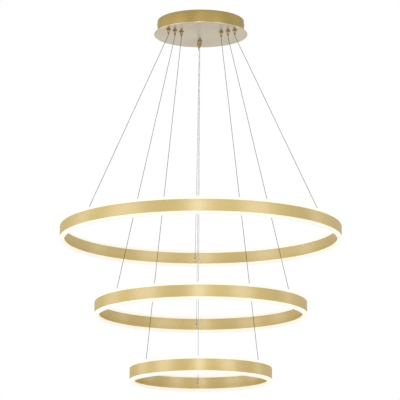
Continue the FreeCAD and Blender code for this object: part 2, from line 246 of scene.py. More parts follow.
def mesh_points(mesh):
    """A mesh's points as an array."""
    points = np.empty(len(mesh.vertices) * 3)
    mesh.vertices.foreach_get("co", points)
    return points.reshape(-1, 3)


def route_line(points, azimuth):
    """Points along the smooth NURBS line whose control points are the route's, in a row."""
    a = math.radians(azimuth)
    curve = bpy.data.curves.new("Route", "CURVE")
    curve.dimensions = "3D"
    spline = curve.splines.new("NURBS")
    spline.points.add(len(points) - 1)
    for point, (r, z) in zip(spline.points, points):
        point.co = (r * math.cos(a), r * math.sin(a), z, 1)
    spline.order_u = 3
    spline.use_endpoint_u = True
    spline.resolution_u = 24
    holder = new_object("Route", curve)
    line = mesh_now(holder)
    found = mesh_points(line)
    bpy.data.objects.remove(holder)
    bpy.data.curves.remove(curve)
    bpy.data.meshes.remove(line)
    return found


def along(line, step):
    """Places at equal distances along a line, with the line's direction at each."""
    runs = np.linalg.norm(np.diff(line, axis=0), axis=1)
    reached = np.concatenate([[0], np.cumsum(runs)])
    keep = np.concatenate([[True], runs > 1e-9])       # a doubled point has no direction
    line, reached = line[keep], reached[keep]
    places = np.linspace(0, reached[-1], max(2, int(reached[-1] / step) + 1))
    points = np.stack([np.interp(places, reached, line[:, k]) for k in range(3)], axis=1)
    ahead = np.gradient(points, places, axis=0)
    return points, ahead / np.linalg.norm(ahead, axis=1)[:, None], places


def wound(name, line, azimuth, step, sides, radius, offset=0.0, lay=1.0, start=0.0):
    """A closed tube along a line in a row's plane.

    Round each place stand `sides` points at radius(angle, place) from a middle that itself
    circles the line at `offset`, one turn in each `lay`, beginning at the angle `start`.
    """
    points, ahead, places = along(line, step)
    a = math.radians(azimuth)
    across = np.broadcast_to(np.array([-math.sin(a), math.cos(a), 0.0]), points.shape)
    up = np.cross(ahead, across)
    turn = (start + 2 * math.pi * places / lay)[:, None]
    middle = points + offset * (np.cos(turn) * across + np.sin(turn) * up)
    round_it = (2 * math.pi * np.arange(sides) / sides)[None, :]
    far = radius(round_it, places[:, None])
    skin = middle[:, None] + (far * np.cos(round_it))[..., None] * across[:, None] \
        + (far * np.sin(round_it))[..., None] * up[:, None]
    return put(name, skin, capped_faces(len(points), sides))


def six_strands(angle, place):
    """Rope radius: full at the crest of each of six strands, lower in the grooves between."""
    crest = np.abs(np.cos(3 * (angle - 2 * math.pi * place / ROPE_LAY)))
    return ROPE_RADIUS * (1 - ROPE_GROOVE + ROPE_GROOVE * crest ** ROPE_CREST)


def round_wire(size):
    """The same radius all round and all along."""
    return lambda angle, place: size + 0 * angle * place


# Drawn stainless wire: grey, bright on each strand's crest and dark in the grooves, with
# grime in patches of about 17 mm.
rope_steel, tree, place = new_material("Rope_stainless_drawn")
grime = add(tree, "TexNoise", {"Vector": place, "Scale": 60.0, "Detail": 2.0})
tone = add(tree, "ValToRGB", {"Fac": grime}, {0.0: "#3d3d3a", 1.0: "#585854"})
steel = add(tree, "BsdfPrincipled", {"Base Color": tone, "Metallic": 1.0, "Roughness": 0.32})
add(tree, "OutputMaterial", {"Surface": steel})

# Clear fluoropolymer jacket: nearly colourless, with the slight ripple of its drawing every
# 4 or 5 mm.
feed_clear, tree, place = new_material("Feed_jacket_clear")
drawn = add(tree, "TexNoise", {"Vector": place, "Scale": 220.0})
ripple = add(tree, "Bump", {"Height": drawn, "Strength": 0.05, "Distance": 0.0001})
jacket = add(tree, "BsdfPrincipled", {
    "Base Color": linear("#f0f1f1"), "Roughness": 0.12, "IOR": 1.35,
    "Transmission Weight": 0.9, "Normal": ripple})
add(tree, "OutputMaterial", {"Surface": jacket})

# Silver-plated copper pair, tightly twisted, duller in places about 11 mm long.
feed_silver, tree, place = new_material("Feed_wire_silvered")
wear = add(tree, "TexNoise", {"Vector": place, "Scale": 90.0})
tone = add(tree, "ValToRGB", {"Fac": wear}, {0.0: "#a8a9a9", 1.0: "#cbcccc"})
silver = add(tree, "BsdfPrincipled", {"Base Color": tone, "Metallic": 1.0, "Roughness": 0.3})
add(tree, "OutputMaterial", {"Surface": silver})

for ring, (points, length) in CABLES.items():
    for row, azimuth in ROWS.items():
        line = route_line(points, azimuth)
        tail = line[0] + np.array([(0, 0, rise) for rise in TAIL_SPAN])
        if row == "back":
            node, size = "ring_%d_feed_cable" % ring, FEED_RADIUS
            skin = (FEED_STEP, FEED_SIDES, round_wire(size))
            cable = wound("Ring_%d_feed_jacket" % ring, line, azimuth, *skin)
            cores = [
                wound("Ring_%d_feed_wire_%s" % (ring, which), line, azimuth, CORE_STEP, CORE_SIDES,
                      round_wire(CORE_RADIUS), CORE_RADIUS, CORE_LAY, start)
                for which, start in (("a", 0.0), ("b", math.pi))
            ]
            stub = wound("Ring_%d_feed_tail" % ring, tail, azimuth, *skin)
            finish, finish_slot = feed_clear, "feed_jacket"
        else:
            node, size = "ring_%d_%s_cable" % (ring, row), ROPE_RADIUS
            skin = (ROPE_STEP, ROPE_SIDES, six_strands)
            cable = wound("Ring_%d_%s_rope" % (ring, row), line, azimuth, *skin)
            cores = []
            stub = wound("Ring_%d_%s_rope_tail" % (ring, row), tail, azimuth, *skin)
            finish, finish_slot = rope_steel, "rope_steel"
        for piece in [cable, stub] + cores:
            piece.data.materials.append(feed_silver if piece in cores else finish)
            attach(piece, "canopy")
            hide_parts(node)
        for piece in [cable] + cores:
            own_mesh(piece)

# --- Ceiling bracket -----------------------------------------------------------------------
# A slotted bar of 2 mm steel, its ends turned down and tapped for the side screws. It is
# screwed flat to the ceiling.


def dress(node, material):
    """Gives a CAD node this finish in all its material slots."""
    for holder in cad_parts[node].material_slots:
        holder.material = material


# Zinc-plated steel: bluish grey, in crystals of about 2 mm, rubbed duller over 25 mm or so.
zinc, tree, place = new_material("Steel_zinc_plated")
flakes = add(tree, "TexVoronoi", {"Vector": place, "Scale": 450.0}).outputs["Distance"]
tone = add(tree, "ValToRGB", {"Fac": flakes}, {0.0: "#9fa3a8", 1.0: "#c3c6c9"})
rub = add(tree, "TexNoise", {"Vector": place, "Scale": 40.0, "Detail": 3.0})
gloss = add(tree, "MapRange", {"Value": rub, "To Min": 0.28, "To Max": 0.46})
plated = add(tree, "BsdfPrincipled", {"Base Color": tone, "Metallic": 1.0, "Roughness": gloss})
add(tree, "OutputMaterial", {"Surface": plated})
dress("ceiling_bracket", zinc)

# --- Canopy drum ---------------------------------------------------------------------------
# A shallow wall of 1.2 mm steel, rolled, welded and ground, with three notched lugs at its
# lower edge for the plate's studs. Satin champagne gold lacquer, its tone darker than the
# bands' partly as its own colour and partly as painted shade for the dimmer light on the canopy.

DRUM_RADIUS = 0.125
DRUM_INNER_RADIUS = 0.1238
DRUM_BOTTOM = -0.038
DRUM_EDGE = 0.0004
LUG_END = 0.1088              # m from the axis
LUG_ROOT = 0.0006             # how far a lug goes into the wall
LUG_HALF_WIDTH = 0.007
LUG_HEIGHT = 0.0012
LUG_AZIMUTHS = (30.0, 150.0, 270.0)
STUD_PLACE = 0.1143           # m from the axis
NOTCH_HALF_WIDTH = 0.00225
SIDE_HOLE_RADIUS = 0.00225
SIDE_SCREW_HEIGHT = -0.010
DRILL_REACH = 0.2             # half the length of the drill for both side holes
CUT_SPARE = 0.001             # how far a cutting shape stands past what it cuts
CANOPY_STEPS = 192            # round the canopy
SHARP_ANGLE = math.radians(35)


def rounded(corners, radii, steps=4):
    """A closed outline whose corners give way to arcs of the given radii.

    Each arc turns about the point that lies its radius away from both sides of the corner.
    """
    corners = np.array(corners, float)
    befores, afters = np.roll(corners, 1, 0), np.roll(corners, -1, 0)
    share = np.linspace(0, 1, steps + 1)[:, None]
    outline = []
    for before, here, after, radius in zip(befores, corners, afters, radii):
        back, on = before - here, after - here
        back, on = back / np.linalg.norm(back), on / np.linalg.norm(on)
        half = np.arccos(np.clip(back @ on, -1, 1)) / 2
        centre = here + (back + on) / np.linalg.norm(back + on) * radius / np.sin(half)
        first = here + back * radius / np.tan(half) - centre
        last = here + on * radius / np.tan(half) - centre
        swing = math.pi - 2 * half
        arc = (np.sin((1 - share) * swing) * first + np.sin(share * swing) * last) / np.sin(swing)
        outline.append(centre + arc)
    return np.concatenate(outline)


def around(radii, heights, centre=(0.0, 0.0)):
    """Points round an upright axis: in each row a radius for each step round, at one height."""
    round_it = 2 * math.pi * np.arange(radii.shape[1]) / radii.shape[1]
    x, y = centre[0] + radii * np.cos(round_it), centre[1] + radii * np.sin(round_it)
    return np.stack(np.broadcast_arrays(x, y, heights[:, None]), axis=-1)


def turned(outline, steps, centre=(0.0, 0.0)):
    """Points of a solid of revolution: an outline of radii and heights, carried round."""
    return around(np.repeat(outline[:, :1], steps, axis=1), outline[:, 1], centre)


def hoop_faces(outline, steps, first=0, inward=False):
    """Quads of a closed outline carried round the axis, facing out of it, or into it."""
    quads = np.array(grid_faces(len(outline), steps, wrap_rows=True, first=first))
    r, z = outline.T
    area = np.sum(r * np.roll(z, -1) - np.roll(r, -1) * z)
    return (quads[:, ::-1] if (area > 0) == inward else quads).tolist()


def hoop(name, outline, steps, centre=(0.0, 0.0)):
    """A closed outline of radii and heights carried round an upright axis, as an object."""
    return put(name, turned(outline, steps, centre), hoop_faces(outline, steps))


def on_row(azimuth, r, z=0.0, aside=0.0):
    """Points at a distance from the axis, at a height, and to the side of a row."""
    a = np.radians(azimuth)
    x, y = r * np.cos(a) - aside * np.sin(a), r * np.sin(a) + aside * np.cos(a)
    return np.stack(np.broadcast_arrays(x, y, z), axis=-1)


def square_to(axis):
    """Two directions at right angles to an axis and to each other."""
    side = np.cross(axis, (0, 0, 1) if abs(axis[2]) < 0.9 else (1, 0, 0))
    side /= np.linalg.norm(side)
    return side, np.cross(axis, side)


def bar(name, start, end, radius, steps=24):
    """A closed round bar between two points: a circle square to the line, at both its ends."""
    start, end = np.array(start, float), np.array(end, float)
    side, other = square_to((end - start) / np.linalg.norm(end - start))
    round_it = (2 * math.pi * np.arange(steps) / steps)[:, None]
    circle = radius * (np.cos(round_it) * side + np.sin(round_it) * other)
    return put(name, [start + circle, end + circle], capped_faces(2, steps), smooth=False)


def row_block(name, azimuth, near, far, half_width, bottom, top):
    """A block that points away from the axis in a row."""
    base = ((near, -half_width), (far, -half_width), (far, half_width), (near, half_width))
    corners = [on_row(azimuth, r, z, aside) for z in (bottom, top) for r, aside in base]
    return put(name, corners, capped_faces(2, 4), smooth=False)


def cut_and_join(piece, drills=(), added=()):
    """The piece with each added shape joined to it and each drill's shape taken out, for good."""
    for kind, shapes in (("UNION", added), ("DIFFERENCE", drills)):
        for shape in shapes:
            step = piece.modifiers.new("Step", "BOOLEAN")
            step.operation, step.solver, step.object = kind, "EXACT", shape
    made = mesh_now(piece)
    piece.modifiers.clear()
    old, piece.data = piece.data, made
    bpy.data.meshes.remove(old)
    for shape in [*drills, *added]:
        bpy.data.objects.remove(shape)
    piece.data.materials.clear()


def finish_piece(piece, material, body, finish_slot, *nodes):
    """The piece's material, its body, and the CAD nodes it stands for; finish_slot is not used."""
    piece.data.materials.append(material)
    piece.data.shade_smooth()
    piece.data.set_sharp_from_angle(angle=SHARP_ANGLE)
    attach(piece, body)
    if nodes:
        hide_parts(*nodes)


# Satin champagne lacquer over ground steel: level grinding lines, drawn 0.8 mm apart so that
# they show, under a slight cloudiness a few centimetres across.
canopy_gold, tree, place = new_material("Canopy_steel_lacquered_champagne")
level = add(tree, "SeparateXYZ", {"Vector": place}).outputs["Z"]
lines = add(tree, "TexNoise", {"W": level, "Scale": 1200.0, "Detail": 2.0},
            noise_dimensions="1D")
cloud = add(tree, "TexNoise", {"Vector": place, "Scale": 14.0, "Detail": 2.0})
# the tone lies below the bands' gold partly as painted shade, for the canopy's dimmer light
tone = add(tree, "ValToRGB", {"Fac": cloud}, {0.3: "#97834f", 0.7: "#a08c58"})
grain = add(tree, "Bump", {"Height": lines, "Strength": 0.1, "Distance": 0.0002})
lacquer = add(tree, "BsdfPrincipled", {
    "Base Color": tone, "Metallic": 1.0, "Roughness": 0.5, "Normal": grain})
add(tree, "OutputMaterial", {"Surface": lacquer})

wall = rounded([(DRUM_INNER_RADIUS, DRUM_BOTTOM), (DRUM_RADIUS, DRUM_BOTTOM),
                (DRUM_RADIUS, 0), (DRUM_INNER_RADIUS, 0)], [DRUM_EDGE] * 4, 3)
drum = hoop("Canopy_drum", wall, CANOPY_STEPS)
lugs = [row_block("Lug", azimuth, LUG_END, DRUM_INNER_RADIUS + LUG_ROOT, LUG_HALF_WIDTH,
                  DRUM_BOTTOM, DRUM_BOTTOM + LUG_HEIGHT) for azimuth in LUG_AZIMUTHS]
notches = [row_block("Notch", azimuth, LUG_END - CUT_SPARE, STUD_PLACE + NOTCH_HALF_WIDTH,
                     NOTCH_HALF_WIDTH, DRUM_BOTTOM - CUT_SPARE,
                     DRUM_BOTTOM + LUG_HEIGHT + CUT_SPARE) for azimuth in LUG_AZIMUTHS]
side_hole = bar("Drill", (-DRILL_REACH, 0, SIDE_SCREW_HEIGHT), (DRILL_REACH, 0, SIDE_SCREW_HEIGHT),
                SIDE_HOLE_RADIUS)
cut_and_join(drum, notches + [side_hole], lugs)
finish_piece(drum, canopy_gold, "canopy", "canopy_gold", "canopy_drum")

# --- Canopy plate --------------------------------------------------------------------------
# A round plate of 2 mm steel that closes the drum from below, with nine holes for the cable
# grippers and three studs welded to its upper face. Its face is fine satin, and mirrors softly.

PLATE_RADIUS = 0.135
PLATE_TOP = DRUM_BOTTOM
PLATE_BOTTOM = PLATE_TOP - 0.002
PLATE_EDGE = 0.0006
GRIPPER_HOLE_RADIUS = 0.00475
GRIPPER_PLACES = {1: 0.110, 2: 0.088, 3: 0.066}         # m from the axis, by ring
STUD_RADIUS = 0.002
STUD_ROOT = 0.0005            # how far a stud goes into the plate
STUD_TOP = -0.029
STUD_PITCH = 0.0007
THREAD_SLOPE = 0.48           # fall of a thread's side from its crest, in pitches
THREAD_FLAT = 0.75            # share of that fall at which its groove ends in a flat
THREAD_END = 0.5              # fall at a thread's two ends, in pitches
THREAD_ROWS = 4               # places in a pitch
NO_BORE = 0.00001             # a solid bar's ends close on a circle of this radius

# Satin lacquer: pale champagne, cloudy over 9 cm or so, frosted in grains of 0.4 mm.
canopy_satin, tree, place = new_material("Canopy_plate_champagne_satin")
swirl = add(tree, "TexNoise", {"Vector": place, "Scale": 11.0, "Detail": 2.0})
tone = add(tree, "ValToRGB", {"Fac": swirl}, {0.3: "#c8baa0", 0.7: "#d3c6af"})
frost = add(tree, "TexNoise", {"Vector": place, "Scale": 2500.0})
grain = add(tree, "Bump", {"Height": frost, "Strength": 0.04, "Distance": 0.0001})
satin = add(tree, "BsdfPrincipled", {
    "Base Color": tone, "Metallic": 1.0, "Roughness": 0.32, "Normal": grain})
add(tree, "OutputMaterial", {"Surface": satin})


def screw_thread(name, centre, bottom, top, radius, pitch, inner=NO_BORE, steps=24):
    """A threaded bar: its radius falls and rises once in each pitch, the crest climbing round it.

    With an inner radius it is a tube, its two ends joined by flat rings.
    """
    turn = np.arange(steps) / steps
    z = np.arange(bottom, top, pitch / THREAD_ROWS)
    z[-1] = top
    wave = np.abs(((z[:, None] / pitch - turn) % 1) * 2 - 1)
    skin = radius - THREAD_SLOPE * pitch * np.minimum(wave, THREAD_FLAT)
    skin[[0, -1]] = radius - THREAD_END * pitch
    radii = np.concatenate([skin, np.full((2, steps), inner)])
    heights = np.concatenate([z, [top, bottom]])
    faces = grid_faces(len(heights), steps, wrap_rows=True)
    return put(name, around(radii, heights, centre), faces)


def joined(name, pieces):
    """One object from several, their meshes put end to end."""
    points, faces, count = [], [], 0
    for piece in pieces:
        old = piece.data
        points.append(mesh_points(old))
        faces += [[v + count for v in face.vertices] for face in old.polygons]
        count += len(points[-1])
        bpy.data.objects.remove(piece)
        bpy.data.meshes.remove(old)
    return put(name, np.concatenate(points), faces)


gripper_points = [on_row(azimuth, r) for r in GRIPPER_PLACES.values() for azimuth in ROWS.values()]
stud_points = [on_row(azimuth, STUD_PLACE) for azimuth in LUG_AZIMUTHS]

# the rim's two rounded edges; the faces at its ends close it to a disc
rim = rounded([(0, PLATE_BOTTOM), (PLATE_RADIUS, PLATE_BOTTOM), (PLATE_RADIUS, PLATE_TOP),
               (0, PLATE_TOP)], [PLATE_EDGE] * 4)[5:-5]
disc = put("Disc", turned(rim, CANOPY_STEPS), capped_faces(len(rim), CANOPY_STEPS))
cut_and_join(disc, [bar("Drill", point + (0, 0, PLATE_BOTTOM - CUT_SPARE),
                        point + (0, 0, PLATE_TOP + CUT_SPARE), GRIPPER_HOLE_RADIUS)
                    for point in gripper_points])
studs = [screw_thread("Stud", point, PLATE_TOP - STUD_ROOT, STUD_TOP, STUD_RADIUS, STUD_PITCH)
         for point in stud_points]
plate = joined("Canopy_plate", [disc] + studs)
finish_piece(plate, canopy_satin, "canopy", "canopy_satin", "canopy_plate")

# --- Plate nuts and lock nuts --------------------------------------------------------------
# Three zinc-plated hexagon nuts on the plate's studs hold the drum's lugs, and nine brass
# ones on the grippers' stems clamp these in the plate. Their corners are turned off.

PLATE_NUT_HEIGHT = 0.0032
PLATE_NUT_FLATS = 0.007
LOCK_NUT_HEIGHT = 0.004
LOCK_NUT_FLATS = 0.013
STEM_RADIUS = 0.0045
NUT_PLAY = 0.00005            # between a nut's bore and the crests of the thread
NUT_BEVEL = 0.06              # height of the turned corners, as a share of the flats


def hexagon(flats, turn):
    """The radius of a hexagon of this width over its flats, at an angle round it."""
    return flats / 2 / np.cos((turn + math.pi / 6) % (math.pi / 3) - math.pi / 6)


def hexagon_nut(name, centre, bottom, height, flats, bore, steps=48):
    """A hexagon nut: a hexagon's radius, but nowhere above that of a cone at either face."""
    bevel, top = flats * NUT_BEVEL, bottom + height
    rise = np.array([0, 0, 0.6, 1]) * bevel
    heights = np.concatenate([bottom + rise, top - rise[::-1]])
    cone = flats / 2 * np.array([0, 0.98, 1.06, 1.2, 1.2, 1.06, 0.98, 0])
    six = hexagon(flats, 2 * math.pi * np.arange(steps) / steps)
    radii = np.minimum(six[None, :], cone[:, None])
    radii[[0, -1]] = bore
    faces = grid_faces(len(heights), steps, wrap_rows=True)
    return put(name, around(radii, heights, centre), faces)


# Turned brass, lacquered: deep gold, stained darker in patches of about 6 mm, with tool
# marks about 0.3 mm apart.
gripper_brass, tree, place = new_material("Gripper_brass_turned")
level = add(tree, "SeparateXYZ", {"Vector": place}).outputs["Z"]
marks = add(tree, "TexNoise", {"W": level, "Scale": 3000.0, "Detail": 2.0},
            noise_dimensions="1D")
stain = add(tree, "TexNoise", {"Vector": place, "Scale": 160.0, "Detail": 2.0})
tone = add(tree, "ValToRGB", {"Fac": stain}, {0.3: "#86714a", 0.7: "#a28a5c"})
grain = add(tree, "Bump", {"Height": marks, "Strength": 0.15, "Distance": 0.0001})
brass = add(tree, "BsdfPrincipled", {
    "Base Color": tone, "Metallic": 1.0, "Roughness": 0.34, "Normal": grain})
add(tree, "OutputMaterial", {"Surface": brass})

nuts = [hexagon_nut("Nut", point, DRUM_BOTTOM + LUG_HEIGHT, PLATE_NUT_HEIGHT, PLATE_NUT_FLATS,
                    STUD_RADIUS + NUT_PLAY) for point in stud_points]
finish_piece(joined("Plate_nuts", nuts), zinc, "canopy", "zinc_steel", "plate_nuts")
nuts = [hexagon_nut("Nut", point, PLATE_TOP, LOCK_NUT_HEIGHT, LOCK_NUT_FLATS,
                    STEM_RADIUS + NUT_PLAY) for point in gripper_points]
finish_piece(joined("Gripper_lock_nuts", nuts), gripper_brass, "canopy", "gripper_brass",
             "gripper_lock_nuts")

# --- Side screws ---------------------------------------------------------------------------
# Two M4 pan-head screws through the drum's wall into the bracket's turned-down ends, brass
# plated to go with the drum, each with a hexagon socket.

SIDE_SCREW_SEAT = 0.12502     # m from the axis
SIDE_SOCKET = (0.0025, 0.0012)           # width over the flats, and depth
# distance from the screw's own line, and height from its seat, from the tip to the head's face
SIDE_SCREW = [(0.0014, -0.008), (0.002, -0.0074), (0.002, 0), (0.004, 0), (0.004, 0.0006),
              (0.0036, 0.0012), (0.0028, 0.0016)]

# Brass plate over steel: bright yellow, scuffed in patches of about 3 mm.
fastener_gold, tree, place = new_material("Screw_steel_brass_plated")
scuff = add(tree, "TexNoise", {"Vector": place, "Scale": 300.0, "Detail": 3.0})
gloss = add(tree, "MapRange", {"Value": scuff, "To Min": 0.22, "To Max": 0.4})
plated = add(tree, "BsdfPrincipled", {
    "Base Color": linear("#d9b66a"), "Metallic": 1.0, "Roughness": gloss})
add(tree, "OutputMaterial", {"Surface": plated})


def socket_screw(name, seat, outward, outline, socket, steps=24):
    """A screw about the line `outward` from its seat.

    Its outline is carried round that line, from the tip to the head's face, where a hexagon
    socket of the given width goes down to the given depth.
    """
    outward = np.array(outward, float) / np.linalg.norm(outward)
    side, other = square_to(outward)
    round_it = 2 * math.pi * np.arange(steps) / steps
    outline, (width, depth) = np.array(outline, float), socket
    six, face = hexagon(width, round_it), outline[-1, 1]
    radii = np.concatenate([outline[:, :1] + 0 * six, [six, six]])
    heights = np.concatenate([outline[:, 1], [face, face - depth]])
    spokes = np.cos(round_it)[:, None] * side + np.sin(round_it)[:, None] * other
    points = seat + radii[..., None] * spokes + heights[:, None, None] * outward
    return put(name, points, capped_faces(len(heights), steps))


screws = [socket_screw("Screw", on_row(azimuth, SIDE_SCREW_SEAT, SIDE_SCREW_HEIGHT),
                       on_row(azimuth, 1.0), SIDE_SCREW, SIDE_SOCKET) for azimuth in (0, 180)]
finish_piece(joined("Side_screws", screws), fastener_gold, "canopy", "fastener_gold",
             "side_screws")

# --- LED drivers and terminal block --------------------------------------------------------
# Two sealed drivers in white ABS cases, with a lower wiring chamber at each end under a
# screwed cover, and a three-pole mains terminal block of natural nylon with brass screws. All
# three stand on the plate inside the drum.

# A box: its half sizes along its row and to the row's side, its lower and upper height above
# the plate, and the radii of its upright corners and of its top edge.
DRIVER_BODY = ((0.0210, 0.0450), 0.0, 0.024, 0.002, 0.0012)
DRIVER_CHAMBER = ((0.0208, 0.0070), 0.0, 0.0158, 0.002, 0.0004)
DRIVER_COVER = ((0.0210, 0.0069), 0.0160, 0.0170, 0.002, 0.0004)
BLOCK_BASE = ((0.0180, 0.0100), 0.0, 0.004, 0.001, 0.0004)
BLOCK_POLE = ((0.0045, 0.0100), 0.001, 0.0128, 0.0012, 0.0008)

DRIVER_AZIMUTHS = {1: 30.0, 2: 270.0}
DRIVER_PLACE = 0.0790         # its middle, m from the axis
CHAMBER_PLACE = 0.0520        # to the side of the driver's middle
COVER_PLACE = 0.0521
COVER_SCREW_RADIUS = 0.0016
COVER_SCREW_HEIGHT = 0.0166   # above the plate, as the next heights are
COVER_SCREW_PLACES = (0.0660, 0.0920)    # m from the axis
POLES = (-0.0135, 0.0, 0.0135)
TOWER_PLACE = 0.0055          # on both sides of a pole's middle
TOWER_BOTTOM = 0.010
TOWER_TOP = 0.0136
TOWER_RADIUS = 0.0034
TERMINAL_SCREW_RADIUS = 0.0022
TERMINAL_SCREW_HEIGHT = 0.0134


def tray(name, azimuth, middle, aside, half, bottom, top, corner, edge):
    """A moulded box in a row: a rounded rectangle that rises, then turns in over its top edge."""
    share = np.linspace(0, math.pi / 2, 4)
    inset = np.concatenate([[0.0], edge * (1 - np.cos(share))])
    heights = np.concatenate([[bottom], top - edge + edge * np.sin(share)])
    outline = rounded(np.array(half) * [(-1, -1), (1, -1), (1, 1), (-1, 1)], [corner] * 4)
    flat = outline * (1 - inset[:, None, None] / np.array(half))
    points = on_row(azimuth, flat[..., 0] + middle, PLATE_TOP + heights[:, None],
                    flat[..., 1] + aside)
    return put(name, points, capped_faces(len(heights), len(outline)))


def upright_screw(seat, radius):
    """A small upright screw: a low head with a hexagon socket, on a short neck."""
    outline = [(radius * 0.5, -0.002), (radius, -0.0002), (radius, 0.0002), (radius * 0.8, 0.0005)]
    return socket_screw("Screw", seat, (0, 0, 1), outline, (radius * 0.9, 0.0005), 18)


# ABS, spark-eroded mould: white, pebbled in grains of 0.6 mm, dusty in patches of 3 cm.
driver_case, tree, place = new_material("Driver_case_abs_moulded")
pebble = add(tree, "TexNoise", {"Vector": place, "Scale": 1600.0, "Detail": 2.0})
grain = add(tree, "Bump", {"Height": pebble, "Strength": 0.2, "Distance": 0.0001})
dust = add(tree, "TexNoise", {"Vector": place, "Scale": 30.0})
tone = add(tree, "ValToRGB", {"Fac": dust}, {0.0: "#e6e5e1", 1.0: "#f1f0ec"})
moulded = add(tree, "BsdfPrincipled", {
    "Base Color": tone, "Roughness": 0.48, "IOR": 1.53, "Normal": grain})
add(tree, "OutputMaterial", {"Surface": moulded})

for count, azimuth in DRIVER_AZIMUTHS.items():
    parts = [tray("Body", azimuth, DRIVER_PLACE, 0.0, *DRIVER_BODY)]
    for end in (-1, 1):
        parts.append(tray("End", azimuth, DRIVER_PLACE, end * CHAMBER_PLACE, *DRIVER_CHAMBER))
        parts.append(tray("Cover", azimuth, DRIVER_PLACE, end * COVER_PLACE, *DRIVER_COVER))
    case = joined("LED_driver_%d" % count, parts)
    finish_piece(case, driver_case, "canopy", "driver_case", "led_driver_%d" % count)
    heads = [upright_screw(on_row(azimuth, r, PLATE_TOP + COVER_SCREW_HEIGHT, end * CHAMBER_PLACE),
                           COVER_SCREW_RADIUS) for end in (-1, 1) for r in COVER_SCREW_PLACES]
    finish_piece(joined("LED_driver_%d_screws" % count, heads), zinc, "canopy", "zinc_steel")

# Natural nylon, moulded: milky, slightly see-through, hazier in patches of 8 mm.
terminal_plastic, tree, place = new_material("Terminal_nylon_natural")
haze = add(tree, "TexNoise", {"Vector": place, "Scale": 120.0})
tone = add(tree, "ValToRGB", {"Fac": haze}, {0.0: "#dcdcd2", 1.0: "#eeeee6"})
nylon = add(tree, "BsdfPrincipled", {
    "Base Color": tone, "Roughness": 0.4, "IOR": 1.53, "Subsurface Weight": 0.3,
    "Subsurface Scale": 0.003})
add(tree, "OutputMaterial", {"Surface": nylon})

parts, heads = [tray("Base", 0.0, 0.0, 0.0, *BLOCK_BASE)], []
for pole in POLES:
    parts.append(tray("Pole", 0.0, pole, 0.0, *BLOCK_POLE))
    for side in (-1, 1):
        low, high, seat = (np.array([pole, side * TOWER_PLACE, PLATE_TOP + rise])
                           for rise in (TOWER_BOTTOM, TOWER_TOP, TERMINAL_SCREW_HEIGHT))
        parts.append(bar("Tower", low, high, TOWER_RADIUS))
        heads.append(upright_screw(seat, TERMINAL_SCREW_RADIUS))
block = joined("Terminal_block", parts)
finish_piece(block, terminal_plastic, "canopy", "terminal_plastic", "terminal_block")
finish_piece(joined("Terminal_screws", heads), gripper_brass, "canopy", "gripper_brass")

# --- Cable grippers ------------------------------------------------------------------------
# Nine turned brass barrels: a threaded stem through the plate, a flange under it and a
# tapered collet. A spring-loaded plunger of darkened brass stands out below: pressed up, it
# frees the cable.

FLANGE_RADIUS = 0.007
COLLET_TOP = -0.0416
COLLET_TOP_RADIUS = 0.0039
COLLET_BOTTOM = -0.0496
COLLET_BOTTOM_RADIUS = 0.0034
LIP_RADIUS = 0.00238          # the opening that the plunger's nose passes
LIP_HEIGHT = 0.0015
BORE_RADIUS = 0.00318
STEM_ROOT = 0.0002            # how far the stem goes into the flange
STEM_TOP = -0.026
STEM_PITCH = 0.001
STEM_STEPS = 36
BARREL_STEPS = 40
PLUNGER_HEAD_BOTTOM = -0.04808
PLUNGER_HEAD_TOP = -0.04508
PLUNGER_HEAD_RADIUS = 0.0031
PLUNGER_NOSE_RADIUS = 0.0023
PLUNGER_BORE_RADIUS = 0.00125
PLUNGER_STEPS = 32

outline = rounded([(LIP_RADIUS, COLLET_BOTTOM), (COLLET_BOTTOM_RADIUS, COLLET_BOTTOM),
                   (COLLET_TOP_RADIUS, COLLET_TOP), (FLANGE_RADIUS, COLLET_TOP),
                   (FLANGE_RADIUS, PLATE_BOTTOM), (BORE_RADIUS, PLATE_BOTTOM),
                   (BORE_RADIUS, COLLET_BOTTOM + LIP_HEIGHT),
                   (LIP_RADIUS, COLLET_BOTTOM + LIP_HEIGHT)],
                  [0.0001, 0.0005, 0.0008, 0.0004, 0.0002, 0.0001, 0.0001, 0.0001], 3)
barrels = []
for point in gripper_points:
    barrels.append(hoop("Lower", outline, BARREL_STEPS, point))
    barrels.append(screw_thread("Stem", point, PLATE_BOTTOM - STEM_ROOT, STEM_TOP, STEM_RADIUS,
                                STEM_PITCH, BORE_RADIUS, STEM_STEPS))
finish_piece(joined("Gripper_barrels", barrels), gripper_brass, "canopy", "gripper_brass",
             "gripper_barrels")

# Brass darkened by a bath: brown, with a soft gloss, uneven over 2 or 3 mm.
release_dark, tree, place = new_material("Release_plunger_brass_oxidised")
wear = add(tree, "TexNoise", {"Vector": place, "Scale": 400.0, "Detail": 2.0})
tone = add(tree, "ValToRGB", {"Fac": wear}, {0.35: "#6b5a3c", 0.75: "#8b7549"})
darkened = add(tree, "BsdfPrincipled", {"Base Color": tone, "Metallic": 1.0, "Roughness": 0.36})
add(tree, "OutputMaterial", {"Surface": darkened})

outline = rounded([(PLUNGER_BORE_RADIUS, NOSE_BOTTOM), (PLUNGER_NOSE_RADIUS, NOSE_BOTTOM),
                   (PLUNGER_NOSE_RADIUS, PLUNGER_HEAD_BOTTOM),
                   (PLUNGER_HEAD_RADIUS, PLUNGER_HEAD_BOTTOM),
                   (PLUNGER_HEAD_RADIUS, PLUNGER_HEAD_TOP),
                   (PLUNGER_BORE_RADIUS, PLUNGER_HEAD_TOP)],
                  [0.0002, 0.0006, 0.0001, 0.0002, 0.0002, 0.0001], 3)
for ring, r in GRIPPER_PLACES.items():
    for row, azimuth in ROWS.items():
        plunger = hoop("Ring_%d_%s_plunger" % (ring, row), outline, PLUNGER_STEPS,
                       on_row(azimuth, r))
        name = "ring_%d_%s_release" % (ring, row)
        finish_piece(plunger, release_dark, name, "release_dark", name)

